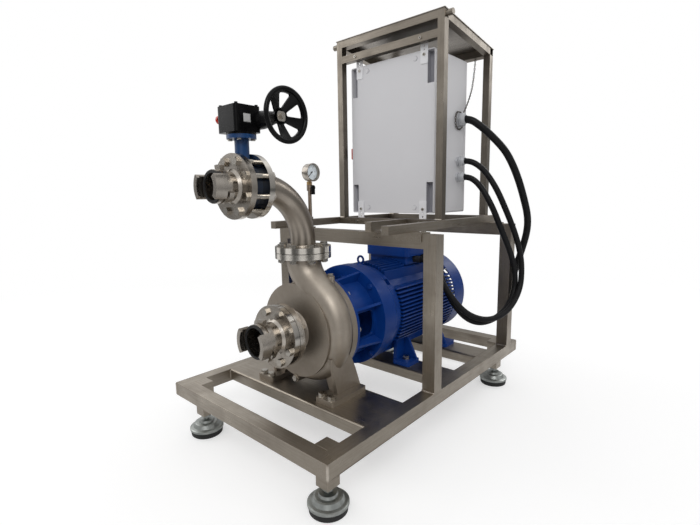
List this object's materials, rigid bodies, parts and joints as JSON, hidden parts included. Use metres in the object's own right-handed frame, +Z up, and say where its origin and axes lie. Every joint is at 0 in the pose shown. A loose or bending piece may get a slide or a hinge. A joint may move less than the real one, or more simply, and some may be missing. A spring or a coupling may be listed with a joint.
{
  "type": "centrifugal pump",
  "caption": "Skid mounted centrifugal pump with a flanged electric motor, a handwheel valve on the outlet elbow and a control cabinet in a cage above.",
  "frame": {"origin": "under the middle of the whole object, on the floor", "axes": "+Z up; the suction coupling faces -Y and the motor stands towards +Y; +X is on the right of someone who looks at the suction coupling"},
  "size_m": [1.052, 1.838, 1.6009],
  "materials": {
    "stainless_tube": "brushed, 180 grit",
    "stainless_cast": "bead blasted",
    "stainless_bright": "machined",
    "bolt_steel": "bright fasteners",
    "galvanised": "zinc plated",
    "inner_steel": "turned",
    "blue_paint": "satin",
    "valve_blue": "satin",
    "black_paint": "gloss",
    "cabinet_grey": "fine texture",
    "bracket_white": "powder coated",
    "gland_grey": "satin",
    "plate_zinc": "zinc plated",
    "switch_red": "moulded",
    "switch_black": "moulded",
    "cable_black": "satin sheath",
    "gasket_rubber": "flat",
    "chain_steel": "plated wire",
    "gauge_steel": "pressed case",
    "pointer_black": "matt",
    "plug_red": "moulded",
    "fan_black": "moulded"
  },
  "bodies": {
    "root": {"base_frame": "stainless_tube", "cross_beams": "stainless_tube", "portals": "stainless_tube", "support_rails": "stainless_tube", "cage_frame": "stainless_tube", "roof_sheet": "stainless_tube", "frame_bolts": "bolt_steel", "cabinet_body": "cabinet_grey", "wall_brackets": "bracket_white", "control_gear": "plate_zinc", "switch_base": "switch_black", "cabinet_glands": "gland_grey", "terminal_glands": "switch_black", "supply_cable": "cable_black", "supply_coil": "cable_black", "supply_plug": "plug_red", "motor_cable_upper": "cable_black", "motor_cable_lower": "cable_black", "gland_chain": "chain_steel", "stator_housing": "blue_paint", "end_shields": "blue_paint", "lantern": "blue_paint", "fan_cover": "blue_paint", "motor_bearings": "inner_steel", "terminal_box": "blue_paint", "terminal_lid": "blue_paint", "lifting_eye": "bolt_steel", "volute_casing": "stainless_cast", "casing_cover": "stainless_cast", "seal_seat": "inner_steel", "suction_coupling": "stainless_bright", "discharge_elbow": "stainless_bright", "valve_body": "valve_blue", "valve_liner": "gasket_rubber", "gear_housing": "black_paint", "outlet_coupling": "stainless_bright", "gaskets": "gasket_rubber", "flange_bolts": "bolt_steel", "gauge_pipe": "stainless_bright", "gauge_case": "gauge_steel"},
    "rotor": {"motor_rotor": "inner_steel", "cooling_fan": "fan_black", "impeller": "stainless_cast", "seal_ring": "inner_steel"},
    "valve": {"valve_disc": "stainless_bright", "worm_wheel": "inner_steel"},
    "handwheel": {"worm_shaft": "inner_steel", "handwheel": "black_paint"},
    "pointer": {"gauge_pointer": "pointer_black"},
    "cock": {"cock_handle": "black_paint"},
    "suction_lock": {"suction_lock_ring": "stainless_bright"},
    "outlet_lock": {"outlet_lock_ring": "stainless_bright"},
    "door": {"cabinet_door": "cabinet_grey"},
    "upper_lock": {"door_lock_upper": "bolt_steel"},
    "lower_lock": {"door_lock_lower": "bolt_steel"},
    "switch": {"switch_handle": "switch_red"},
    "foot_front_left": {"foot_front_left": "galvanised"},
    "foot_front_right": {"foot_front_right": "galvanised"},
    "foot_rear_left": {"foot_rear_left": "galvanised"},
    "foot_rear_right": {"foot_rear_right": "galvanised"}
  },
  "joints": [
    {"name": "rotor_spin", "type": "hinge", "parent": "root", "child": "rotor", "pos_m": [0, 0.041, 0.435], "axis": [0, 1, 0], "continuous": true},
    {"name": "valve_turn", "type": "hinge", "parent": "root", "child": "valve", "pos_m": [0, -0.538, 0.943], "axis": [0, 0, 1], "range_deg": [0, 90]},
    {"name": "handwheel_turn", "type": "hinge", "parent": "root", "child": "handwheel", "pos_m": [0.127, -0.494, 1.142], "axis": [1, 0, 0], "range_deg": [0, 2160]},
    {"name": "pointer_turn", "type": "hinge", "parent": "root", "child": "pointer", "pos_m": [0.011, -0.262, 0.994], "axis": [-1, 0, 0], "range_deg": [0, 270]},
    {"name": "cock_turn", "type": "hinge", "parent": "root", "child": "cock", "pos_m": [0.013, -0.262, 0.941], "axis": [1, 0, 0], "range_deg": [0, 90]},
    {"name": "suction_lock_turn", "type": "hinge", "parent": "root", "child": "suction_lock", "pos_m": [0, -0.499, 0.435], "axis": [0, 1, 0], "range_deg": [0, 40]},
    {"name": "outlet_lock_turn", "type": "hinge", "parent": "root", "child": "outlet_lock", "pos_m": [0, -0.624, 0.943], "axis": [0, 1, 0], "range_deg": [0, 40]},
    {"name": "door_swing", "type": "hinge", "parent": "root", "child": "door", "pos_m": [-0.226, 0.4755, 1.1555], "axis": [0, 0, 1], "range_deg": [0, 90]},
    {"name": "upper_lock_turn", "type": "hinge", "parent": "door", "child": "upper_lock", "pos_m": [0.184, 0.491, 1.2849], "axis": [0, 1, 0], "range_deg": [0, 90]},
    {"name": "lower_lock_turn", "type": "hinge", "parent": "door", "child": "lower_lock", "pos_m": [0.184, 0.491, 1.0261], "axis": [0, 1, 0], "range_deg": [0, 90]},
    {"name": "switch_turn", "type": "hinge", "parent": "root", "child": "switch", "pos_m": [-0.228, 0.267, 1.107], "axis": [1, 0, 0], "range_deg": [0, 90]},
    {"name": "level_front_left", "type": "slide", "parent": "root", "child": "foot_front_left", "axis": [0, 0, -1], "range_m": [0, 0.02]},
    {"name": "level_front_right", "type": "slide", "parent": "root", "child": "foot_front_right", "axis": [0, 0, -1], "range_m": [0, 0.02]},
    {"name": "level_rear_left", "type": "slide", "parent": "root", "child": "foot_rear_left", "axis": [0, 0, -1], "range_m": [0, 0.02]},
    {"name": "level_rear_right", "type": "slide", "parent": "root", "child": "foot_rear_right", "axis": [0, 0, -1], "range_m": [0, 0.02]}
  ],
  "couplings": [
    {"joint": "valve_turn", "follows": "handwheel_turn", "ratio": 0.041667}
  ]
}
